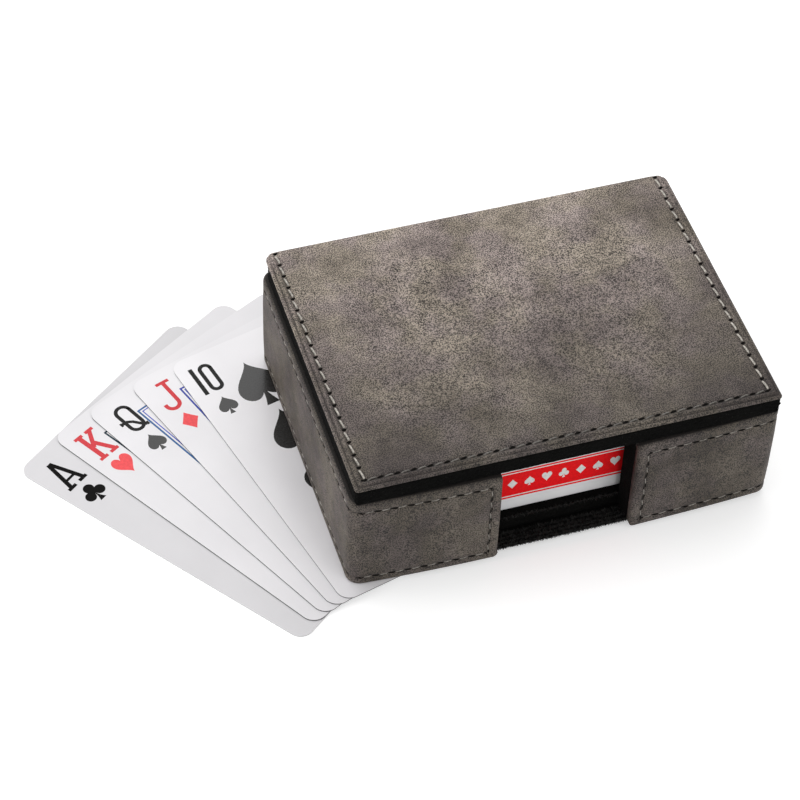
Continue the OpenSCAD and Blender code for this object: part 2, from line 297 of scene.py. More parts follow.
INDEX_MID = np.array([-25.4, 34.8])
SERIF = 0.95
index_letters = {
    "ace": [([(-2.15, -4.6), (-0.05, 4.55)], 1.15), ([(2.35, -4.6), (0.25, 4.55)], 1.15),
            ([(-1.6, -2.4), (1.8, -2.4)], 0.75), ([(-0.6, 4.3), (0.8, 4.3)], 0.6),
            ([(-3.3, -4.9), (-0.6, -4.9)], SERIF), ([(0.7, -4.9), (3.3, -4.9)], SERIF)],
    "king": [([(-1.8, -4.9), (-1.8, 4.3)], 1.35), ([(-1.3, -0.9), (1.75, 4.0)], 1.15),
             ([(-0.35, 0.6), (2.1, -4.7)], 1.25),
             ([(-3.2, 4.15), (-0.6, 4.15)], SERIF), ([(-3.2, -5.0), (-0.6, -5.0)], SERIF),
             ([(0.4, 4.15), (3.0, 4.15)], SERIF), ([(0.4, -5.0), (3.0, -5.0)], SERIF)],
    "queen": [(stadium((0.8, 0.15), 1.9, 4.45), 1.0),
              ([(-2.2, -0.2), (-0.6, -0.3), (0.6, -1.2), (1.8, -3.0), (2.9, -4.2)], 0.9),
              ([(-2.25, 0.35), (-2.25, -0.9)], 0.6), ([(3.2, -3.4), (3.2, -4.6)], 0.7)],
    "jack": [([(-0.7, 5.0), (3.1, 5.0)], SERIF),
             ([(1.3, 4.8), (1.3, 1.0), *arc((-0.5, -2.4), 1.8, 0, -180), (-2.3, -1.8)], 1.1)],
    "ten": [([(-2.3, -4.6), (-2.3, 5.2)], 1.15), (stadium((1.25, 0.3), 1.42, 4.4), 1.05)],
}


def ruled_frame(half_w, half_h, width):
    """A printed frame: four ribbons along a rectangle, each half a width longer than its side both ways."""
    ends = np.array([(-half_w, -half_h), (half_w, -half_h), (half_w, half_h), (-half_w, half_h)])
    reach = width / 2 * np.array([(1, 0), (0, 1), (-1, 0), (0, -1)])
    return [stroke([ends[i] - reach[i], ends[(i + 1) % 4] + reach[i]], width) for i in range(4)]


def court_panel(pip):
    """A plain two-way court panel: a lattice of ribbons, and in each half a crown over a large pip."""
    half_w, half_h, pitch = 12.0, 14.0, 7
    lattice = []
    for rise in pitch * np.arange(-5, 6):
        low, high = max(-half_w, -half_h - rise), min(half_w, half_h - rise)
        if low < high:
            lattice += [stroke([(low * lean, low + rise), (high * lean, high + rise)], 0.35)
                        for lean in (1, -1)]
    crown = fan_patch([(-5, 0), (5, 0), (6.2, 5.4), (3, 2.6), (0, 6.4), (-3, 2.6), (-6.2, 5.4)])
    band = stroke([(-5.2, 16.4), (5.2, 16.4)], 0.8)
    halves = []
    for flip in (1, -1):
        halves += [placed(crown, (0, 17.6), (1, 1), flip), placed(band, (0, 0), (1, 1), flip)]
        halves += [placed(part, (-15.0, 22.5), (7.0, 8.6), flip) for part in pip()]
    return lattice, halves


def case_box(node):
    """A node's low and high corner in case millimetres."""
    return (np.array(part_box(node)) - case_origin) / MM


def coat(node, finish):
    """Gives a CAD node its finish."""
    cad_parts[node].data.materials[0] = finish


def make_piece(name, points, faces, finish, body=None, smooth=True, closed=True, painted_shade=None):
    """A mesh at the origin from points in case millimetres, riding on a body.
    A closed one has its doubles merged and its faces turned outwards. The last argument, one number for each
    point, is kept as a mesh attribute by which the finish paints shade."""
    mesh = bpy.data.meshes.new(name)
    mesh.from_pydata((np.reshape(points, (-1, 3)) * MM + case_origin).tolist(), [], faces)
    if painted_shade is not None:
        mesh.attributes.new("painted_shade", "FLOAT", "POINT").data.foreach_set("value", np.ravel(painted_shade))
    if closed:
        work = bmesh.new()
        work.from_mesh(mesh)
        weld = 0.001 * MM
        bmesh.ops.remove_doubles(work, verts=work.verts, dist=weld)
        bmesh.ops.dissolve_degenerate(work, edges=work.edges, dist=weld)
        bmesh.ops.recalc_face_normals(work, faces=work.faces)
        work.to_mesh(mesh)
        work.free()
    mesh.polygons.foreach_set("use_smooth", np.full(len(mesh.polygons), smooth))
    mesh.materials.append(finish)
    piece = new_object(name, mesh)
    if body:
        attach(piece, body)
    return piece


INK_LIFT = 0.008


def on_card(flat, node, tilt):
    """Card millimetres (across, along, lift) to case millimetres on the face of a card turned by the tilt."""
    low, high = case_box(node)
    spread = flat[..., :1] * (np.sin(tilt), -np.cos(tilt)) + flat[..., 1:2] * (np.cos(tilt), np.sin(tilt))
    return np.concatenate([spread + (low + high)[:2] / 2, high[2] + flat[..., 2:]], axis=-1)


matte_black_ink = ink("matte_black_ink", (0.006, 0.0055, 0.0055), 0.4, 0.03)
black_ink = ink("black_ink", (0.012, 0.0115, 0.0115), 0.16, 0.1)
gloss_black_ink = ink("gloss_black_ink", (0.016, 0.0155, 0.015), 0.16, 0.42)
letter_red_ink = ink("letter_red_ink", (0.68, 0.05, 0.062), 0.25, 0.15)
pip_red_ink = ink("pip_red_ink", (0.9, 0.085, 0.095), 0.25, 0.2)
blue_ink = ink("blue_ink", (0.05, 0.09, 0.5), 0.2, 0.2)
frame_inks = {"king": ink("slate_ink", (0.01, 0.032, 0.05), 0.2, 0.2),
              "queen": ink("teal_ink", (0.03, 0.12, 0.32), 0.2, 0.2),
              "jack": ink("navy_ink", (0.03, 0.05, 0.36), 0.2, 0.2)}
# The third entry of each card, its white and its cut-edge tone, is painted shade: the ace's white is the
# darkest, and the king's near-black edge stands for its shadow on the ace.
fan = {
    "ace": ("ace_of_clubs", 127.7, (0.63, 0.6), matte_black_ink, matte_black_ink,
            club_pip, (-25.4, 21.6), (6.2, 6.2)),
    "king": ("king_of_hearts", 122.4, (0.74, 0.008), letter_red_ink, pip_red_ink,
             heart_pip, (-25.5, 20.9), (5.7, 6.6)),
    "queen": ("queen_of_spades", 117.2, (0.77, 0.03), black_ink, gloss_black_ink,
              spade_pip, (-24.8, 21.5), (5.1, 6.4)),
    "jack": ("jack_of_diamonds", 110.1, (0.795, 0.05), letter_red_ink, pip_red_ink,
             diamond_pip, (-25.4, 22.0), (4.8, 6.3)),
    "ten": ("ten_of_spades", 104.2, (0.84, 0.1), black_ink, gloss_black_ink,
            spade_pip, (-25.0, 21.6), (5.1, 6.4)),
}
for body, (node, degrees, painted_shade_tones, letter_ink, pip_ink, pip, pip_at, pip_size) in fan.items():
    low, high = np.array(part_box(node))
    tilt = np.radians(degrees)
    coat(node, card_stock(node + "_stock", (low + high)[:2] / 2, tilt, *painted_shade_tones))
    letters = [placed(stroke(*part), INDEX_MID, (1, 1), flip) for part in index_letters[body]
               for flip in (1, -1)]
    pips = [placed(part, pip_at, pip_size, flip) for part in pip() for flip in (1, -1)]
    prints = [("index", letters, letter_ink)]
    if body == "ace":
        pips += [placed(part, (0.0, -10.0), (20.0, 20.0)) for part in pip()]
    elif body == "ten":
        spots = [(u, v) for u in (-14.5, 14.5) for v in (19.4, 1.2)] + [(0.0, 10.3)]
        pips += [placed(part, at, (12.4, 16.0), flip) for part in pip() for at in spots for flip in (1, -1)]
    else:
        lattice, halves = court_panel(pip)
        pips += halves
        prints.append(("frame", ruled_frame(21.5, 35.3, 0.5), frame_inks[body]))
        prints.append(("lattice", ruled_frame(20.65, 34.5, 0.3) + lattice, blue_ink))
    prints.append(("pips", pips, pip_ink))
    for part, patches, colour in prints:
        flat, faces = joined(patches)
        make_piece(body + "_" + part, on_card(flat + (0, 0, INK_LIFT), node, tilt), faces, colour,
                   body, smooth=False, closed=False)


# Underside sheet and boards. A thin black sheet is glued under the case, and fibreboard cut to size
# stiffens the floor, the walls and the lid; the boards are hidden once they are covered.
def board_finish(name, colour):
    """Pressed board: fibres in two shades, no gloss."""
    made, shade = new_finish(name)
    fibre = shade.noise(700.0, 4.0, 0.6).ramp(0.35, 0.7)
    set_surface(shade, Base_Color=fibre.mix(colour, scaled(colour, 1.4)), Roughness=0.8 + 0.15 * fibre,
                Normal=shade.bump(fibre, 0.08, 0.6))
    return made


wood_board = board_finish("wood_board", (0.3, 0.22, 0.14))
for node in ("floor_board", "left_board", "right_board", "back_board", "front_left_board",
             "front_right_board", "lid_liner_board"):
    coat(node, wood_board)
coat("lid_board", board_finish("grey_board", (0.25, 0.24, 0.22)))
coat("underside_sheet", board_finish("black_sheet", (0.018, 0.018, 0.018)))


# Felt linings. Black needle felt about 1 mm thick is glued to the floor, the sill of the notch and
# the inner walls, and turned over their edges; its cut edges and bends are fuzzy.
def felt_finish():
    """Black felt: tangled fibres at two scales, dull, with a faint lit nap."""
    made, shade = new_finish("black_felt")
    tangle = shade.noise(1400.0, 5.0, 0.65).ramp(0.3, 0.75)
    patchy = shade.noise(160.0, 3.0).ramp(0.3, 0.7)
    tone = (tangle * 0.7 + patchy * 0.3).mix((0.0008, 0.0008, 0.0007), (0.0062, 0.006, 0.0056))
    set_surface(shade, Base_Color=tone, Roughness=0.95, Specular_IOR_Level=0.03, Sheen_Weight=0.008,
                Sheen_Roughness=0.5, Normal=shade.bump(tangle, 0.25, 0.9))
    return made


def two_tone(name, scale, span, dark, light, roughness, shine=0.5, relief=None):
    """A plain finish, mottled between two shades; relief is the distance and the strength of its bump."""
    made, shade = new_finish(name)
    mottle = shade.noise(scale).ramp(*span)
    relief = {"Normal": shade.bump(mottle, *relief)} if relief else {}
    set_surface(shade, Base_Color=mottle.mix(dark, light), Roughness=roughness, Specular_IOR_Level=shine,
                **relief)
    return made


def quads(rows, columns, wrap=False):
    """Faces of a grid of points stored row by row; wrap joins the last column to the first."""
    index = np.arange(rows * columns).reshape(rows, columns)
    here = index if wrap else index[:, :-1]
    beside = np.roll(index, -1, axis=1) if wrap else index[:, 1:]
    return stacked(here[:-1], beside[:-1], beside[1:], here[1:]).reshape(-1, 4)


def tube(steps, sides):
    """Faces of a capped tube whose points are stored ring by ring."""
    caps = np.arange(steps * sides).reshape(steps, sides)[[0, -1]]
    return quads(steps, sides, wrap=True).tolist() + caps.tolist()


def run_along(points):
    """Length along a line of points, from 0 at the first."""
    return np.concatenate([[0.0], np.cumsum(np.linalg.norm(np.diff(points, axis=0), axis=1))])


def softened(corners, radius, step):
    """A closed outline with its corners rounded: each corner is a Bezier bend, then evenly spaced points."""
    corners = np.asarray(corners, float)
    bends = []
    share = np.linspace(0, 1, 7)[:, None]
    for before, here, after in zip(np.roll(corners, 1, axis=0), corners, np.roll(corners, -1, axis=0)):
        ends = [here + (other - here) / np.linalg.norm(other - here) * radius for other in (before, after)]
        bends.append((1 - share) ** 2 * ends[0] + 2 * share * (1 - share) * here + share ** 2 * ends[1])
    ring = np.vstack(bends + [bends[0][:1]])
    run = run_along(ring)
    even = np.linspace(0, run[-1], int(run[-1] / step), endpoint=False)
    return stacked(*(np.interp(even, run, ring[:, i]) for i in (0, 1)))


def extruded(outline, along, axis, rough=0.0, seed=0):
    """A closed outline carried along one axis and capped; rough is how far noise shifts each point."""
    ring, rail = np.asarray(outline, float), np.asarray(along, float)
    count, steps = len(ring), len(rail)
    points = np.empty((steps, count, 3))
    points[..., axis] = rail[:, None]
    points[..., [i for i in range(3) if i != axis]] = ring[None]
    points += rough * np.random.default_rng(seed).uniform(-1, 1, points.shape)
    return points, tube(steps, count)


def fuzz(name, rim, normals, count, reach, width, seed, body):
    """Loose fibres: one thin bent ribbon each, rooted on the rim, leaning at random, none under the case."""
    draw = np.random.default_rng(seed)
    spread, scatter, curl, bend_at, clear_z = 0.35, 0.75, 0.5, 0.55, 0.03
    pick = draw.integers(0, len(rim), count)
    root = rim[pick] + draw.uniform(-spread, spread, (count, 3)) * (1 - np.abs(normals[pick]))
    lean = normals[pick] + draw.normal(0, scatter, (count, 3))
    lean /= np.linalg.norm(lean, axis=1, keepdims=True)
    length = reach * draw.uniform(0.35, 1.0, (count, 1))
    side = np.cross(lean, draw.normal(size=(count, 3)))
    side *= width / 2 / np.linalg.norm(side, axis=1, keepdims=True)
    mid = root + lean * length * bend_at
    bent = lean + draw.normal(0, curl, (count, 3))
    tip = mid + bent / np.linalg.norm(bent, axis=1, keepdims=True) * length * (1 - bend_at)
    points = np.stack([root - side, root + side, mid + side, mid - side, tip], axis=1).reshape(-1, 3)
    points[:, 2] = np.maximum(points[:, 2], clear_z)
    base = np.arange(count)[:, None] * 5
    faces = (base + (0, 1, 2, 3)).tolist() + (base + (3, 2, 4)).tolist()
    make_piece(name, points, faces, felt_fibre, body, closed=False)


black_felt = felt_finish()
felt_fibre = two_tone("felt_fibre", 900.0, (0.35, 0.65), (0.006, 0.006, 0.006), (0.04, 0.039, 0.037),
                      0.8, 0.2)
FELT_BEND = 0.35
FELT_STEP = 0.7
FELT_ROUGH = 0.05


def stands_for(node, cut):
    """Hides a node that a sheet made elsewhere stands in for; cut, its flat size in millimetres, is not used.
    """
    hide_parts(node)
    cut[0] * MM
    cut[1] * MM


def felt_run(node, outline, axis, start, end, cut, seed):
    """One felt: its section carried along an axis; cut is its size before it was glued down."""
    rail = np.linspace(start, end, int((end - start) / FELT_STEP) + 1)
    points, faces = extruded(softened(outline, FELT_BEND, FELT_STEP * 0.8), rail, axis, FELT_ROUGH, seed)
    piece = make_piece(node + "_nap", points, faces, black_felt, "case")
    stands_for(node, cut)


floor_low, floor_high = low, high = case_box("floor_felt")
board_low, board_high = case_box("floor_board")
lip = low[2] + 0.1
section = [(low[1], lip), (low[1], high[2]), (high[1], high[2]), (high[1], board_high[2]),
           (board_low[1], board_high[2]), (board_low[1], lip)]
felt_run("floor_felt", section, 0, low[0], high[0], (high[0] - low[0], high[1] - low[1] + high[2] - low[2]),
         1)

sill_low, sill_high = low, high = case_box("sill_felt")
section = [(low[1], low[2]), (low[1], high[2]), (high[1], high[2]), (high[1], low[2])]
points, faces = extruded(softened(section, FELT_BEND, 0.4), np.linspace(low[0], high[0], 170), 0, 0.07, 2)
waves = sum(np.sin(pace * points[..., 0] + start) for pace, start in ((3.1, 0.0), (5.3, 1.0), (8.9, 2.0)))
points[..., 1] += np.where(points[..., 1] < low[1] + 0.5, 0.16 * waves - 0.2, 0)
sill = make_piece("sill_felt_nap", points, faces, black_felt, "case")
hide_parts("sill_felt")

for node, seed in (("left_felt", 3), ("right_felt", 4)):
    low, high = case_box(node)
    section = [(low[0], low[2]), (low[0], high[2]), (high[0], high[2]), (high[0], low[2])]
    felt_run(node, section, 1, low[1], high[1], (high[1] - low[1], high[2] - low[2]), seed)

low, high = case_box("back_felt")
board_low, board_high = case_box("back_board")
END_GAP = 1.0
section = [(low[1], low[2]), (low[1], high[2]), (high[1], high[2]), (high[1], board_high[2]),
           (board_low[1], board_high[2]), (board_low[1], low[2])]
felt_run("back_felt", section, 0, low[0] + END_GAP, high[0] - END_GAP,
         (high[0] - low[0] - 2 * END_GAP, high[2] - low[2] + high[1] - low[1]), 5)

JAMB_SWELL = 0.8
for node, seed, side in (("front_left_felt", 6, -1), ("front_right_felt", 7, 1)):
    low, high = case_box(node)
    board_low, board_high = case_box(node.replace("felt", "board"))
    jamb, deep = (high[0], low[0]) if side < 0 else (low[0], high[0])
    wood = board_high[0] if side < 0 else board_low[0]
    section = [(jamb, low[1]), (jamb - JAMB_SWELL * (side > 0), high[1]), (deep, high[1]),
               (deep, board_high[1]), (wood, board_high[1]), (wood, low[1])]
    felt_run(node, section, 2, low[2], high[2], (high[2] - low[2], high[0] - low[0] + high[1] - low[1]),
             seed)

RIM_COUNT = 400
front, top = sill_low[1], sill_high[2]
sill_runs = [(front, sill_low[2] + 0.1, (0.0, -0.9, -0.4)), (front, sill_low[2] + 0.45, (0.0, -1.0, 0.0)),
             (front, top - 0.15, (0.0, -0.8, 0.6)), (front + 0.8, top, (0.0, -0.2, 1.0)),
             (front + 1.9, top, (0.0, 0.0, 1.0)), (front + 3.2, top, (0.0, 0.0, 1.0)),
             (floor_low[1], floor_high[2] - 0.2, (0.0, -0.6, 0.8))]
along = np.linspace(sill_low[0], sill_high[0], RIM_COUNT)
rim = np.concatenate([stacked(along, y, z) for y, z, _ in sill_runs])
facing = np.repeat([normal for _, _, normal in sill_runs], RIM_COUNT, axis=0)
fuzz("sill_fibres", rim, facing, count=9000, reach=1.1, width=0.09, seed=8, body="case")


# Wall covers. Leatherette is glued over each end wall from the notch round the front corner to the
# back, its edges rolled over the board, and a channel is sewn along its top, bottom and notch edges.
def leatherette(name, tone, front=1.0, back=1.0):
    """Mottled taupe leatherette: slow clouds of two hues, brushed nap, specks and painted shade.
    The tone scales its colour; the walls' copy is darker than the lid's, painted shade for the lesser light
    on them.
    front and back scale it from edge to edge of the case: painted shade in front, a painted highlight behind."""
    made, shade = new_finish(name)
    cloud = shade.noise(60.0, 4.0, 0.6).ramp(0.36, 0.64)
    hue = shade.noise(95.0, 3.0).ramp(0.42, 0.6)
    mottle = shade.noise(330.0, 5.0, 0.7).ramp(0.36, 0.64)
    nap = shade.noise(2000.0, 3.0, 0.6).ramp(0.36, 0.64)
    grain = shade.noise(3300.0, 1.0).ramp(0.44, 0.56)
    warm = cloud.mix(scaled((0.106, 0.09, 0.073), tone), scaled((0.204, 0.176, 0.146), tone))
    cool = cloud.mix(scaled((0.103, 0.085, 0.079), tone), scaled((0.186, 0.157, 0.145), tone))
    speck = (grain * 0.68 + nap * 0.1 + mottle * 0.22).mix((0.0, 0.0, 0.0), (2.14, 2.12, 2.1))
    # Painted shade and highlight: the colour is scaled from front at the front edge of the case to back at
    # its back edge.
    case_depth = 80 * MM
    share = (shade.place().axis(1) - case_origin[1]) * (1 / case_depth) + 0.5
    base = hue.mix(warm, cool)
    for layer in (speck, share.mix((front, front, front), (back, back, back))):
        base = shade.node("ShaderNodeMix", {0: 1.0, 6: base, 7: layer},
                          {"data_type": "RGBA", "blend_type": "MULTIPLY"}, 2)
    # Painted shade: the colour falls towards near black where the mesh attribute is high.
    painted_shade = shade.node("ShaderNodeAttribute", settings={"attribute_name": "painted_shade"}, output=2)
    set_surface(shade, Base_Color=painted_shade.mix(base, (0.012, 0.01, 0.009)), Roughness=0.5 + 0.25 * grain,
                Specular_IOR_Level=0.2, Normal=shade.bump(grain * 0.65 + nap * 0.35, 0.09, 0.9))
    return made


def thread_finish(name, tone):
    """Waxed polyester thread: grey-beige, darker between its plies; the tone scales its colour."""
    beige = scaled((1.0, 0.93, 0.83), tone)
    return two_tone(name, 2200.0, (0.35, 0.65), scaled(beige, 0.4), beige, 0.6, relief=(0.06, 0.8))


def stitched(name, seams, length, body, thick, lean, finish):
    """Stitches along seams, each given as its needle holes and their normals; length is a share of the pitch.
    Each is a tube on start + share * along, raised by 0.8 thick - 0.7 |2 share - 1|^4 and leaning over."""
    start, along, outward = (np.concatenate(part) for part in zip(*(
        (spots[:-1], np.diff(spots, axis=0), (away[:-1] + away[1:]) / 2) for spots, away in seams)))
    start = start + along * (1 - length) / 2
    steps, sides = 8, 6
    share = np.linspace(0, 1, steps)
    across = np.cross(outward, along)
    across /= np.linalg.norm(across, axis=1, keepdims=True)
    line = start[:, None] + along[:, None] * share[:, None] * length
    line = line + outward[:, None] * (thick * 0.8 - 0.7 * np.abs(2 * share - 1) ** 4)[:, None]
    line = line + across[:, None] * ((share - 0.5) * 2 * lean)[:, None]
    turn = np.arange(sides) * 2 * np.pi / sides
    ring = np.cos(turn)[:, None] * outward[:, None, None] + np.sin(turn)[:, None] * across[:, None, None]
    points = line[:, :, None] + thick * ring
    base = np.arange(len(start))[:, None, None] * steps * sides
    ends = np.arange(steps * sides).reshape(steps, sides)[[0, -1]]
    faces = (base + quads(steps, sides, wrap=True)).reshape(-1, 4).tolist()
    faces += (base + ends).reshape(-1, sides).tolist()
    make_piece(name, points, faces, finish, body)


def needle_marks(name, spots, half, slant, surface, body, inside_out=False):
    """Needle holes as painted shade: dark ellipses with these half axes and slant, drawn in a surface's two
    parameters.
    """
    sides = 12
    turn = np.arange(sides) * 2 * np.pi / sides
    ring, each = fan_patch(stacked(half[0] * np.cos(turn), half[1] * np.sin(turn)))
    ring = ring @ np.array([[np.cos(slant), np.sin(slant)], [-np.sin(slant), np.cos(slant)]])
    flat = spots[:, None] + ring
    base = np.arange(len(spots))[:, None, None] * (sides + 1)
    faces = (base + each[:, ::-1 if inside_out else 1]).reshape(-1, 3).tolist()
    points = surface(flat[..., 0], flat[..., 1])
    make_piece(name, points, faces, hole_shade, body, closed=False)


# The lid's copy is painted darker in front and lighter behind; the walls' copy, also on the spine, is darker
# than the lid's as painted shade.
lid_finish = leatherette("lid_leatherette", 0.98, 0.52, 1.82)
leather = leatherette("shaded_wall_leatherette", 0.53)
# Painted shade: the near-black marks stand for the shade inside the needle holes.
hole_shade = two_tone("hole_shade", 2000.0, (0.4, 0.7), (0.002, 0.0018, 0.0016), (0.009, 0.008, 0.007),
                       0.9, 0.05)
# The wall threads and the lid's front row are darker copies of the same thread: painted shade.
pale_thread = thread_finish("pale_thread", 0.62)
shaded_wall_thread = thread_finish("shaded_wall_thread", 0.42)
shaded_front_thread = thread_finish("shaded_front_thread", 0.2)
PITCH = 4.0
STITCH = 2.9
MARK_LIFT = 0.02
ROW_WIDTH = 0.5
low, high = case_box("left_cover")
half_w, half_d, wall_h = -low[0], high[1], high[2]
notch_x = -high[0]
corner_r = 3.5
roll_r = 0.9
skin = 0.95
flange = half_w + case_box("left_felt")[0][0]
upper_row, lower_row, notch_row = wall_h - 3.2, 2.4, 2.7
front_bow = 1.1
notch_r = 1.3


def cover_run(step):
    """The left cover's plan from the notch to the back seam: points, outward normals and run of each."""
    seam_x = case_box("back_cover")[1][0] - 0.2
    core_x, core_y = corner_r - half_w, half_d - corner_r
    front = np.arange(-notch_x, core_x, -step)
    end = np.arange(step - core_y, core_y, step)
    parts = [(stacked(front, -half_d), np.tile((0.0, -1.0), (len(front), 1))),
             (arc((core_x, -core_y), corner_r, 270, 180, 19), arc((0, 0), 1, 270, 180, 19)),
             (stacked(-half_w, end), np.tile((-1.0, 0.0), (len(end), 1))),
             (arc((core_x, core_y), corner_r, 180, 90, 19), arc((0, 0), 1, 180, 90, 19)),
             (np.array([[-seam_x, half_d]]), np.array([[0.0, 1.0]]))]
    plan, normal = (np.vstack(part) for part in zip(*parts))
    return plan, normal, run_along(plan)


def bow(plan):
    """How far the front wall swells: most beside the notch, nothing at the corner, a parabola between."""
    share = np.clip((-notch_x - plan[:, 0]) / (half_w - corner_r - notch_x), 0, 1)
    on_front = plan[:, 1] < corner_r - half_d
    return np.where(on_front, front_bow * (1 - share ** 2), 0.0)


def bell(offset, width):
    """1 on a line, falling to 0 beside it: exp(-(offset / width)^2)."""
    return np.exp(-(offset / width) ** 2)


def row_depth(at, level):
    """Depth of the sewn channels at a run and height: bells across the two long rows and the upright one."""
    long_rows = sum(bell(level - row, ROW_WIDTH) for row in (lower_row, upper_row))
    in_long = (at >= notch_row) & (at <= last_row)
    in_short = (level > lower_row) & (level < upper_row)
    upright = bell(at - notch_row, ROW_WIDTH)
    return np.maximum(np.where(in_long, long_rows, 0), np.where(in_short, upright, 0))


def sewn_depth(at, level):
    """Depth of a cover's face at a run and a height: the sewn channels, less the stuffing between the rows
    and the raised margin beside the notch."""
    stuffing = 0.14 * np.clip(np.minimum(level - lower_row, upper_row - level) / 6, 0, 1)
    margin = 0.12 * bell(at - 1.4, 0.7)
    return 0.24 * row_depth(at, level) - stuffing - margin


def turned_in(at, radius):
    """How far a rounded edge falls back at a run from it: r - sqrt(r^2 - (r - run)^2), and nothing past r."""
    return radius - np.sqrt(radius ** 2 - np.clip(radius - at, 0, radius) ** 2)


def lowered(at, level, sag):
    """Heights on a cover whose bottom edge sags beside the notch and whose two corners there are rounded."""
    middle = wall_h / 2
    rounding = turned_in(at, notch_r) * np.clip((level - middle) / middle, -1, 1)
    return level - sag * np.exp(-at / 9.0) * (1 - level / wall_h) - rounding


def on_cover(at, level, lift, sag):
    """Points lifted off the left cover's face at a run and a height, and their outward normals."""
    (x, y), (out_x, out_y) = ([np.interp(at, run, part[:, i]) for i in (0, 1)] for part in (plan, normal))
    away = np.interp(at, run, bow(plan)) - sewn_depth(at, level) + lift
    points = stacked(x + out_x * away, y + out_y * away, lowered(at, level, sag))
    return points, stacked(out_x, out_y, 0.0)


plan, normal, run = cover_run(0.36)
last_row = run[-1] - 7.0
fine = np.arange(-1.2, 1.21, 0.24)
roll_z = wall_h - roll_r
face_z = np.unique(np.concatenate([np.arange(0.9, roll_z, 0.9), lower_row + fine, upper_row + fine]))
face_z = face_z[(face_z > 0.6) & (face_z < roll_z)]
roll = np.linspace(0, np.pi / 2, 7)
toe = np.linspace(-np.pi / 2, 0, 5)[1:]
toe_r, foot = 0.5, 0.05
outer_in = np.concatenate([[skin], toe_r - toe_r * np.cos(toe), np.zeros(len(face_z)),
                           roll_r - roll_r * np.cos(roll), np.linspace(roll_r + 0.5, flange, 9)])
outer_z = np.concatenate([[foot], foot + toe_r + toe_r * np.sin(toe), face_z,
                          roll_z + roll_r * np.sin(roll), np.full(9, wall_h)])
inward = np.concatenate([outer_in, np.linspace(flange, skin, 6), np.full(4, skin)])
height = np.concatenate([outer_z, np.full(6, wall_h - skin), np.linspace(wall_h - skin, 0.4, 5)[1:]])
is_outer = np.arange(len(inward)) < len(outer_in)
on_face = is_outer & (inward < 0.7) & (height > 0.5)

depth = inward + np.where(on_face, sewn_depth(run[:, None], height), 0)
depth = depth + turned_in(run, roll_r)[:, None] * (is_outer & (height > 0.3))
swell = bow(plan)[:, None] * np.where(is_outer, np.clip(1 - inward / flange, 0, 1), 0)
shell = plan[:, None] - normal[:, None] * (depth - swell)[..., None]
limit = np.where(depth > corner_r, depth, -np.inf)
shell[..., 0] = np.maximum(shell[..., 0], -half_w + limit)
shell[..., 1] = np.clip(shell[..., 1], -half_d + limit, half_d - limit)
# Painted shade, kept per point: darker in the sewn channels, on the flange in the lid's shadow, and towards
# the top of the face below the lid.
over_top = is_outer & (height > wall_h - 0.6)
painted_shade = np.where(on_face, 0.35 * row_depth(run[:, None], height), 0)
painted_shade = painted_shade + np.where(over_top, 0.95 * np.clip((inward - 0.35) / 0.45, 0, 1), 0)
painted_shade = painted_shade + np.where(on_face, 0.4 * np.clip((height - wall_h + 2.4) / 2.4, 0, 1) ** 1.5, 0)
cover_faces = tube(len(run), len(height))

stops = np.arange(notch_row, last_row, PITCH)
rows = [stacked(stops, row) for row in (lower_row, upper_row)]
upright = stacked(notch_row, np.linspace(lower_row, upper_row, 7))
for side, name, sag in ((1, "left", 0.0), (-1, "right", 0.45)):
    mirror = np.array([side, 1, 1])
    points = stacked(shell[..., 0], shell[..., 1], lowered(run[:, None], height, sag)) * mirror
    cover = make_piece(name + "_cover_leather", points, cover_faces, leather, "case",
                       painted_shade=painted_shade)
    stands_for(name + "_cover", (run[-1], wall_h + flange))
    seams = [[part * mirror for part in on_cover(*row.T, 0.0, sag)] for row in (*rows, upright)]
    stitched(name + "_thread", seams, STITCH / PITCH, "case", thick=0.11, lean=0.16, finish=shaded_wall_thread)
    for tag, spots, half in (("row", np.concatenate(rows), (0.95, 0.33)), ("notch", upright, (0.32, 1.1))):
        needle_marks(name + "_" + tag + "_holes", spots, half, 0.15 * side,
                     lambda at, level: on_cover(at, level, MARK_LIFT, sag)[0] * mirror, "case", side > 0)


# Spine. One strip of leatherette runs down the back from the lid's edge to the bottom of the case;
# it is glued to the lid and to the back wall, and on the case it bends between them as the hinge. Here it is
# one fixed piece.
low, high = case_box("back_cover")
lid_edge = case_box("lid_board")[1][2] + 0.05
section = [(high[1] - skin, low[2] + 0.1), (high[1], low[2] + 0.1), (high[1], lid_edge),
           (high[1] - skin, lid_edge)]
rail = np.linspace(low[0], high[0], 101)
points, faces = extruded(softened(section, 0.3, 0.45), rail, 0)
wave = 0.04 * np.sin(rail / 7.0)[:, None] * np.sin(points[..., 2] / 5.0)
points[..., 1] += np.where(points[..., 1] > high[1] - skin / 2, wave, 0)
spine = make_piece("spine_leather", points, faces, leather)
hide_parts("back_cover", "hinge_fold")
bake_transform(spine)


# Deck. The rest of the cards stand in a folded carton of white board; a red band with fine white
# rules runs along its front and back, a row of suit marks is printed on it, and a red panel on the top.
def carton_stock():
    """White carton board: faint fibre, slightly cloudy."""
    made, shade = new_finish("carton_stock")
    cloud = shade.noise(120.0, 3.0).ramp(0.35, 0.7)
    set_surface(shade, Base_Color=cloud.mix((0.82, 0.82, 0.83), (0.87, 0.87, 0.88)),
                Roughness=0.38 + 0.1 * cloud, Normal=shade.bump(shade.noise(1800.0, 3.0), 0.03, 0.4))
    return made


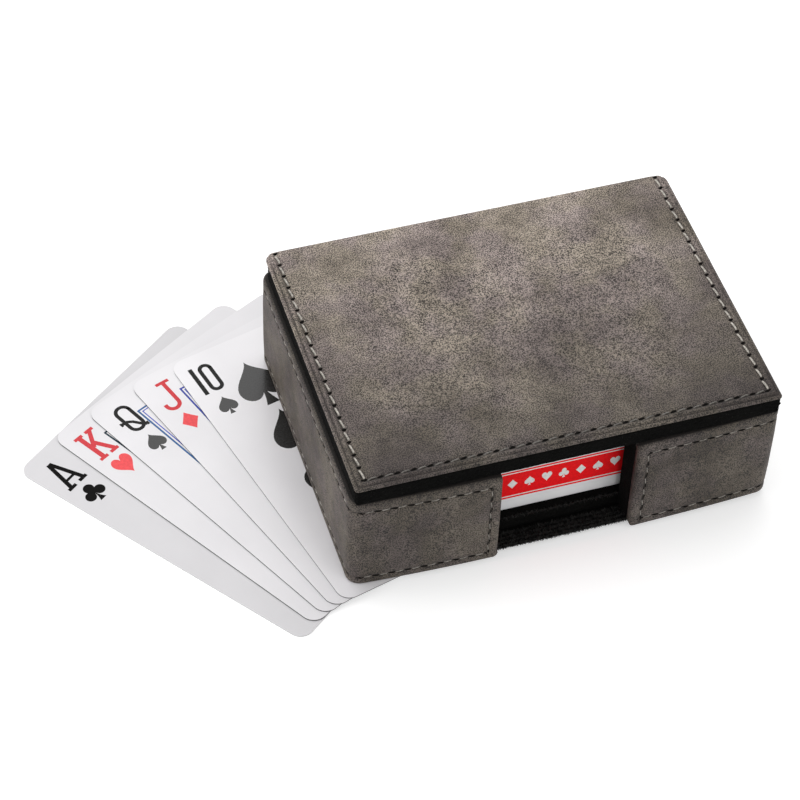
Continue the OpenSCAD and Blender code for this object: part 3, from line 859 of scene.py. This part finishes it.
coat("carton", carton_stock())
coat("pack_cards", card_stock("pack_stock", (0.0, 0.0), np.pi / 2))
carton_low, carton_high = case_box("carton")
band_red = ink("band_red_ink", (0.95, 0.008, 0.012), 0.5, 0.12)
band_white = ink("band_white_ink", (0.88, 0.86, 0.84), 0.4, 0.2)
BAND_FOOT = 4.6
BAND_H = 9.9
BAND_LIFT, MARKS_LIFT = 0.02, 0.04


def carton_print(name, patches, colour, lift, face):
    """Flat print on the carton's front, back or top: u runs along the face and v up it or across it."""
    flat, faces = joined(patches)
    u, v, off = flat[:, 0], flat[:, 1], flat[:, 2] + lift
    if face == "top":
        points = stacked(u, v + (carton_low[1] + carton_high[1]) / 2, carton_high[2] + off)
    elif face == "front":
        points = stacked(u, carton_low[1] - off, v + carton_low[2])
    else:
        points = stacked(-u, carton_high[1] + off, v + carton_low[2])
    make_piece(name, points, faces, colour, "pack", smooth=False, closed=False)


def level_bar(at, half, width):
    """A level ribbon on the carton."""
    return stroke([(-half, at), (half, at)], width)


wall_half = (carton_high[0] - carton_low[0]) / 2 - 0.6
marks = [level_bar(BAND_FOOT + at, wall_half, 0.36) for at in (0.8, BAND_H - 0.72)]
for k, pip in enumerate((spade_pip, heart_pip, club_pip, diamond_pip) * 5):
    marks += [placed(part, ((k - 9.5) * 4.4, BAND_FOOT + 3.5), (2.6, 3.4)) for part in pip()]
for face in ("front", "back"):
    carton_print("carton_band_" + face, [level_bar(BAND_FOOT + BAND_H / 2, wall_half, BAND_H)], band_red,
                 BAND_LIFT, face)
    carton_print("carton_marks_" + face, marks, band_white, MARKS_LIFT, face)
carton_print("carton_band_top", [level_bar(0, 33, 52.0)], band_red, BAND_LIFT, "top")
emblem = ruled_frame(31.2, 24.2, 0.5) + ruled_frame(29.8, 22.8, 0.25)
emblem += [placed(part, (0.0, -11.0), (19.0, 23.0)) for part in spade_pip()]
emblem += [placed(part, (23.0 * sx, 14.0 * sy - 3.4), (5.4, 6.8)) for sx in (-1, 1) for sy in (-1, 1)
           for part in (heart_pip() if sx == sy else diamond_pip())]
carton_print("carton_marks_top", emblem, band_white, MARKS_LIFT, "top")


# Lid. Felt is drawn over a liner board to make the slab that closes the case, a greyboard lies on it,
# and leatherette is rolled over the top edges and sewn along the front and the two sides.
TINY = 1e-9


def plate(half_w, half_d, radius, across, deep, rim_out, rim_z):
    """A plate with round corners on one grid. Past its core rectangle the larger step is the run r down the
    rim and the ratio of the two steps is the angle, so square rings of the grid become arcs;
    out(r) and z(r) are read from the rim's section."""
    core_w, core_d = half_w - radius, half_d - radius
    rim = run_along(stacked(rim_out, rim_z))
    p = np.concatenate([-core_w - rim[:0:-1], across, core_w + rim[1:]])
    q = np.concatenate([-core_d - rim[:0:-1], deep, core_d + rim[1:]])
    p, q = np.meshgrid(p, q)
    step_p, step_q = np.maximum(np.abs(p) - core_w, 0), np.maximum(np.abs(q) - core_d, 0)
    r = np.maximum(step_p, step_q)
    ratio = np.minimum(step_p, step_q) / np.maximum(r, TINY) * np.pi / 4
    angle = np.where(step_p >= step_q, ratio, np.pi / 2 - ratio)
    out = np.interp(r, rim, rim_out)
    x = np.clip(p, -core_w, core_w) + np.sign(p) * out * np.cos(angle) * (r > 0)
    y = np.clip(q, -core_d, core_d) + np.sign(q) * out * np.sin(angle) * (r > 0)
    return stacked(x, y, np.interp(r, rim, rim_z))


def round_back(points, half_w, half_d):
    """Rounds a plate's two back corners.
    From a corner's centre, (u, v) becomes (u, v) max(u, v) / hypot(u, v)."""
    radius = 2.8
    u = np.maximum(np.abs(points[..., 0]) - half_w + radius, 0)
    v = np.maximum(points[..., 1] - half_d + radius, 0)
    lost = 1 - np.maximum(u, v) / np.maximum(np.hypot(u, v), TINY)
    points[..., 0] -= np.sign(points[..., 0]) * u * lost
    points[..., 1] -= v * lost


def solid_wall(piece, thickness):
    """Gives a skin its thickness, inwards from its face."""
    wall = piece.modifiers.new("thickness", "SOLIDIFY")
    wall.thickness = thickness * MM
    wall.offset = -1.0


cover_low, cover_high = case_box("lid_cover")
lid_mid_y = (cover_low[1] + cover_high[1]) / 2
lid_w, lid_d = cover_high[0], (cover_high[1] - cover_low[1]) / 2
lid_top = cover_high[2]
lid_foot = case_box("lid_board")[1][2] + 0.1
quarter = np.linspace(0, np.pi / 2, 7)

slab_low, slab_high = case_box("lid_felt")
slab_w, slab_d = (slab_high - slab_low)[:2] / 2
slab_r, slab_roll, slab_turn = 0.9, 0.4, 8
slab_out = np.concatenate([[0.0], slab_r - slab_roll + slab_roll * np.sin(quarter), np.full(6, slab_r)])
slab_z = np.concatenate([[0.0], slab_roll - slab_roll * np.cos(quarter),
                         np.linspace(slab_roll + 0.5, lid_foot - 0.03 - slab_low[2], 6)])
core_x, core_y = (np.linspace(slab_r - half, half - slab_r, steps)
                  for half, steps in ((slab_w, 110), (slab_d, 80)))
points = plate(slab_w, slab_d, slab_r, core_x, core_y, slab_out, slab_z)
round_back(points, slab_w, slab_d)
points += np.array([*(slab_low + slab_high)[:2] / 2, slab_low[2]])
points += 0.05 * np.random.default_rng(21).uniform(-1, 1, points.shape)
slab = make_piece("lid_felt_nap", points, quads(*points.shape[:2])[:, ::-1].tolist(), black_felt,
                  "lid", closed=False)
solid_wall(slab, 0.36)
stands_for("lid_felt", (2 * slab_w + slab_turn, 2 * slab_d + slab_turn))

lid_r, lid_roll, hem_r, lid_turn = 0.9, 0.5, 0.3, 4
row_in = 2.8
HEM_CREASE, HEM_WIDTH = 0.95, 0.2


def lid_rows(x, y):
    """1 along the stitched rows of the lid and 0 away from them: bells across both sides and the front."""
    side_row = bell(lid_w - row_in - np.abs(x), ROW_WIDTH) * (y > row_in - lid_d)
    front_row = bell(y + lid_d - row_in, ROW_WIDTH) * (np.abs(x) < lid_w - row_in)
    return np.maximum(side_row, front_row)


def lid_fold(x, y):
    """Run from the nearest sewn edge of the lid, and how much of the turned hem shows: none at the hinge."""
    return np.minimum(lid_w - np.abs(x), y + lid_d), np.clip((lid_d - y - 1.0) / 5, 0, 1)


def lid_height(x, y):
    """Height of the leather over the lid's flat top, with y from the lid's middle: a ridge and a fold line
    where the hem is turned, the sewn channel, a slack hollow in the middle and slow ripples."""
    edge, hem = lid_fold(x, y)
    swing = 1 + 0.35 * np.sin(x / 6.5 + 1.0) * np.sin(y / 8.0)
    ridge = 0.34 * swing * bell(edge - 1.65, 0.45) - 0.28 * bell(edge - HEM_CREASE, HEM_WIDTH)
    slack = 0.18 * np.cos(np.pi * x / 2 / lid_w) * np.cos(np.pi * y / 2 / lid_d)
    ripple = 0.05 * np.sin(x / 9.0 + 1.3 * np.sin(y / 14.0)) * np.sin(y / 11.0)
    return ridge * hem - 0.26 * lid_rows(x, y) - slack + ripple


def on_lid(x, y, lift):
    """Points lifted off the lid's leather, from x and y in case millimetres."""
    return stacked(x, y, lid_top + lid_height(x, y - lid_mid_y) + lift)


lid_t = lid_top - lid_foot
flat_rim = np.arange(0.0, lid_r - lid_roll - 0.05, 0.2)
rim_out = np.concatenate([flat_rim, lid_r - lid_roll + lid_roll * np.sin(quarter), [lid_r],
                          lid_r - hem_r + hem_r * np.cos(quarter[1:])])
rim_drop = np.concatenate([0 * flat_rim, lid_roll * (1 - np.cos(quarter)), [lid_t - hem_r],
                           lid_t - hem_r + hem_r * np.sin(quarter[1:])])
near_row = np.arange(0.0, 2.6, 0.25)
core_x, core_y = (np.concatenate([near_row - half, np.linspace(2.75 - half, half - 2.75, steps),
                                  half - near_row[::-1]])
                  for half, steps in ((lid_w - lid_r, 120), (lid_d - lid_r, 90)))
points = plate(lid_w, lid_d, lid_r, core_x, core_y, rim_out, -rim_drop)
round_back(points, lid_w, lid_d)
x, y, on_top = points[..., 0], points[..., 1], points[..., 2] > -0.3
edge, hem = lid_fold(x, y)
# Painted shade on the lid's top: darker along the turned hem, fainter on the right, and in the sewn channels.
# The top is also darker towards its left and right sides.
fold_shade = 0.6 * bell(edge - HEM_CREASE, HEM_WIDTH) + 0.3 * bell(edge - 2.25, 0.3)
fold_shade *= np.where(lid_w - x > edge, 1.0, 0.35)
darker_sides = 0.18 * bell(lid_w + x, 16.0) + 0.27 * bell(lid_w - x, 22.0)
painted_shade = np.where(on_top, hem * fold_shade + 0.3 * lid_rows(x, y) + darker_sides, 0)
points[..., 2] += np.where(on_top, lid_height(x, y), 0)
points += np.array([0.0, lid_mid_y, lid_top])
lid_cover = make_piece("lid_leather", points, quads(*points.shape[:2]).tolist(), lid_finish,
                       "lid", closed=False, painted_shade=painted_shade)
solid_wall(lid_cover, 0.28)
stands_for("lid_cover", (2 * lid_w + lid_turn, 2 * lid_d + lid_turn))

front_y = cover_low[1] + row_in
side_x = lid_w - row_in
side_stops = np.arange(front_y, cover_high[1] - 0.7, PITCH)
front_stops = np.linspace(-side_x, side_x, int(round(2 * side_x / PITCH)) + 1)
side_rows = [stacked(at, side_stops) for at in (-side_x, side_x)]
front_row = stacked(front_stops, front_y)
for tag, rows, share, thick, finish in (("side", side_rows, 0.8, 0.26, pale_thread),
                                        ("front", [front_row], 0.66, 0.2, shaded_front_thread)):
    seams = [(on_lid(*row.T, 0.0), np.tile((0.0, 0.0, 1.0), (len(row), 1))) for row in rows]
    stitched("lid_" + tag + "_thread", seams, share, "lid", thick, lean=0.25, finish=finish)
for tag, spots, half in (("side", np.concatenate(side_rows), (0.62, 0.4)),
                         ("front", front_row, (0.85, 0.38))):
    needle_marks("lid_" + tag + "_holes", spots, half, 0.2, lambda x, y: on_lid(x, y, MARK_LIFT), "lid")

LONG_COUNT, SHORT_COUNT = 300, 240
band_z = np.random.default_rng(31).uniform(slab_low[2], slab_high[2], LONG_COUNT)
rim_x = np.linspace(slab_low[0], slab_high[0], LONG_COUNT)
rim_y = np.linspace(slab_low[1], slab_high[1], SHORT_COUNT)
rim = [stacked(rim_x, slab_low[1], band_z)]
rim += [stacked(at, rim_y, band_z[:SHORT_COUNT]) for at in (slab_low[0], slab_high[0])]
facing = [np.tile(normal, (len(part), 1)) for normal, part in zip(((0, -1, 0), (-1, 0, 0), (1, 0, 0)), rim)]
fuzz("lid_felt_fibres", np.concatenate(rim), np.concatenate(facing), count=1500, reach=0.35, width=0.05,
     seed=32, body="lid")


# Table and light. A pale sheet runs under the set; one large soft lamp hangs above and behind, one stands
# low on the left and one in front on the right, and white walls all round fill the shadows.
def plain_light(name, place, size, power):
    """A square soft lamp that looks at the middle of the case; its place and size are in metres."""
    lamp = bpy.data.lights.new(name, "AREA")
    lamp.size = size
    lamp.energy = power
    holder = new_object(name, lamp)
    holder.location = case_origin + np.array(place)
    holder.rotation_euler = Vector(place).to_track_quat("Z", "Y").to_euler()


def in_view(shade):
    """1 for rays from the camera, from a mirror or through glass, and 0 for the rest."""
    rays = [shade.node("ShaderNodeLightPath", output=name)
            for name in ("Is Camera Ray", "Is Glossy Ray", "Is Transmission Ray")]
    return rays[0].math("MAXIMUM", rays[1]).math("MAXIMUM", rays[2])


plain_light("top_lamp", (0.0, 0.36, 0.52), size=0.8, power=2.8)
plain_light("left_lamp", (-0.85, 0.1, 0.2), size=0.7, power=5.4)
plain_light("front_lamp", (0.3, -0.78, 0.45), size=0.9, power=4.0)
TABLE_HALF = 3.0
WHITE = (1.0, 1.0, 1.0, 1.0)
corners = TABLE_HALF * np.array([(-1, -1, 0), (1, -1, 0), (1, 1, 0), (-1, 1, 0)])
table_mesh = bpy.data.meshes.new("table")
table_mesh.from_pydata(corners.tolist(), [], [(0, 1, 2, 3)])
table_finish, shade = new_finish("table_paper")
paper = shade.node("ShaderNodeBsdfDiffuse", {"Color": (0.86, 0.86, 0.86, 1.0)})
grey_paper = shade.node("ShaderNodeBsdfDiffuse", {"Color": (0.6, 0.6, 0.6, 1.0)})
glow = shade.node("ShaderNodeEmission", {"Color": WHITE, "Strength": 0.4})
lifted = shade.node("ShaderNodeAddShader", {0: paper, 1: glow})
surface = shade.node("ShaderNodeMixShader", {0: in_view(shade), 1: grey_paper, 2: lifted})
shade.node("ShaderNodeOutputMaterial", {"Surface": surface})
table_mesh.materials.append(table_finish)
table = new_object("table", table_mesh)

world = bpy.data.worlds.new("studio")
world.use_nodes = True
world.node_tree.nodes.clear()
bpy.context.scene.world = world
shade = Shade(world.node_tree)
fill = shade.node("ShaderNodeBackground", {"Color": WHITE, "Strength": 0.38})
walls = shade.node("ShaderNodeBackground", {"Color": WHITE, "Strength": 1.0})
surround = shade.node("ShaderNodeMixShader", {0: in_view(shade), 1: fill, 2: walls})
shade.node("ShaderNodeOutputWorld", {"Surface": surround})
